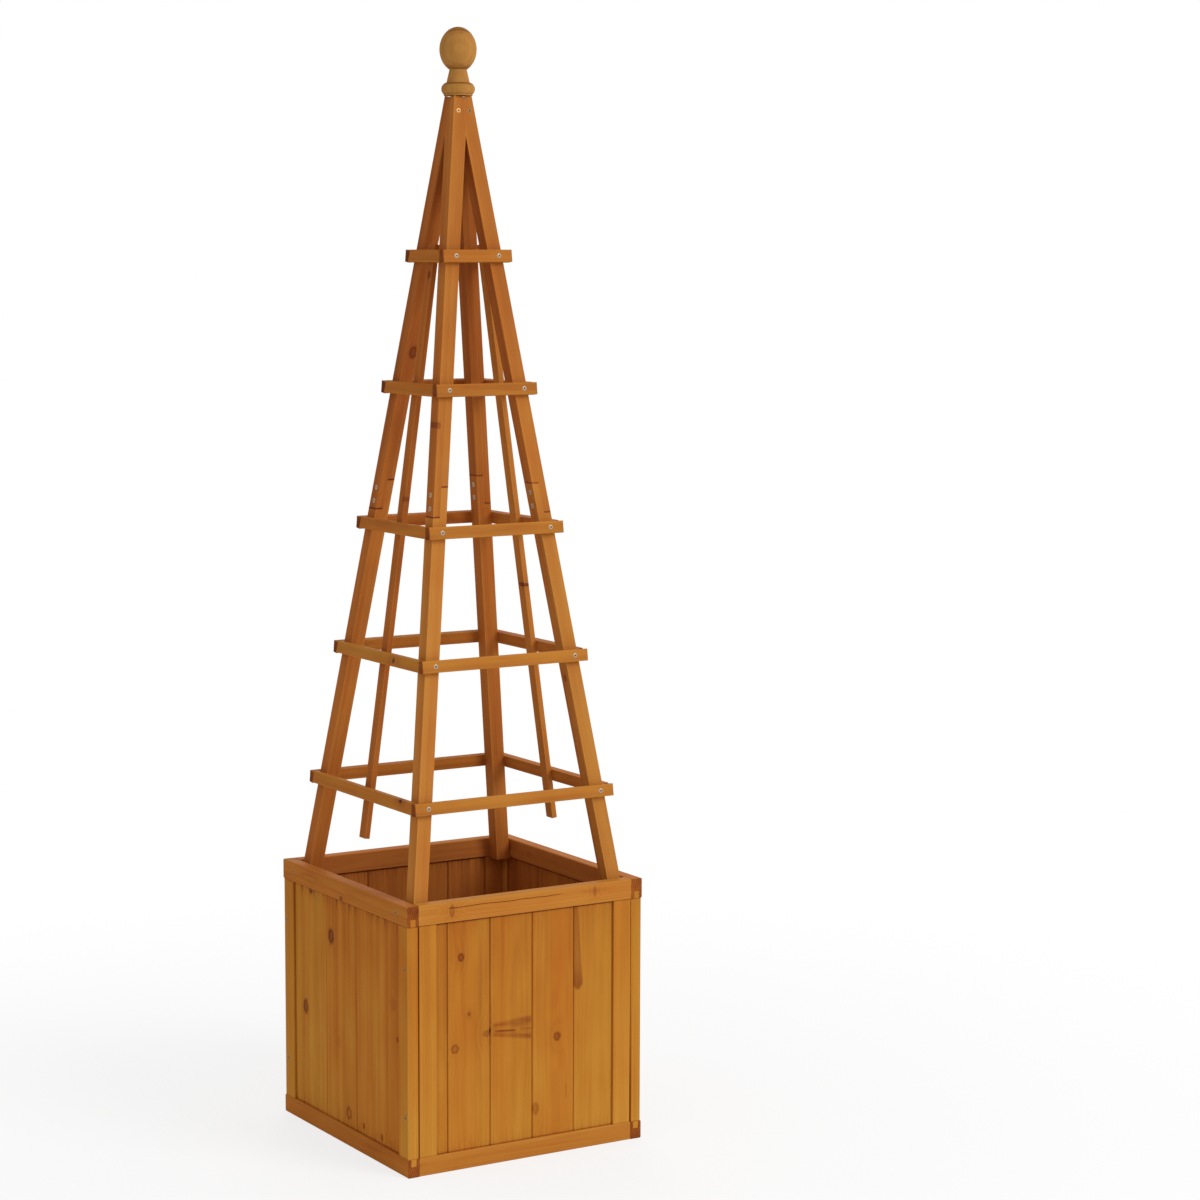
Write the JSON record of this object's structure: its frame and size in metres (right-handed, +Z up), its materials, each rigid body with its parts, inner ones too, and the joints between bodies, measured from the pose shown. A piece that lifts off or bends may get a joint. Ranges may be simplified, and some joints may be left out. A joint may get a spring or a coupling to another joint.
{
  "type": "trellis planter",
  "caption": "Square planter box of framed upright boards with a tall tapering trellis of leaning legs and slats, topped by a turned finial, for climbing plants.",
  "frame": {"origin": "on the ground under the middle of the planter box", "axes": "+Z up along the trellis, -Y out of the front of the box, +X to its right seen from the front"},
  "size_m": [0.4, 0.4, 1.6604],
  "materials": {
    "frame_wood": "honey brown stain, satin",
    "board_wood": "honey brown stain, satin",
    "leg_wood": "honey brown stain, satin",
    "slat_wood": "honey brown stain, satin",
    "finial_wood": "honey brown stain, matte",
    "floor_wood": "honey brown stain, matte",
    "zinc_steel": "zinc plated"
  },
  "bodies": {
    "root": {"back_boards": "board_wood", "back_bottom_rail": "frame_wood", "back_left_lower_leg": "leg_wood", "back_left_upper_leg": "leg_wood", "back_panel_left_stile": "frame_wood", "back_panel_right_stile": "frame_wood", "back_right_lower_leg": "leg_wood", "back_right_upper_leg": "leg_wood", "back_slat_1": "slat_wood", "back_slat_2": "slat_wood", "back_slat_3": "slat_wood", "back_slat_4": "slat_wood", "back_slat_5": "slat_wood", "back_top_rail": "frame_wood", "finial": "finial_wood", "finial_dowel_screw": "zinc_steel", "floor_boards": "floor_wood", "front_boards": "board_wood", "front_bottom_rail": "frame_wood", "front_left_lower_leg": "leg_wood", "front_left_upper_leg": "leg_wood", "front_panel_left_stile": "frame_wood", "front_panel_right_stile": "frame_wood", "front_right_lower_leg": "leg_wood", "front_right_upper_leg": "leg_wood", "front_slat_1": "slat_wood", "front_slat_2": "slat_wood", "front_slat_3": "slat_wood", "front_slat_4": "slat_wood", "front_slat_5": "slat_wood", "front_top_rail": "frame_wood", "left_boards": "board_wood", "left_bottom_rail": "frame_wood", "left_centre_strip": "slat_wood", "left_floor_batten": "floor_wood", "left_panel_back_stile": "frame_wood", "left_panel_front_stile": "frame_wood", "left_slat_1": "slat_wood", "left_slat_2": "slat_wood", "left_slat_3": "slat_wood", "left_slat_4": "slat_wood", "left_slat_5": "slat_wood", "left_top_rail": "frame_wood", "right_boards": "board_wood", "right_bottom_rail": "frame_wood", "right_centre_strip": "slat_wood", "right_floor_batten": "floor_wood", "right_panel_back_stile": "frame_wood", "right_panel_front_stile": "frame_wood", "right_slat_1": "slat_wood", "right_slat_2": "slat_wood", "right_slat_3": "slat_wood", "right_slat_4": "slat_wood", "right_slat_5": "slat_wood", "right_top_rail": "frame_wood"}
  },
  "joints": []
}
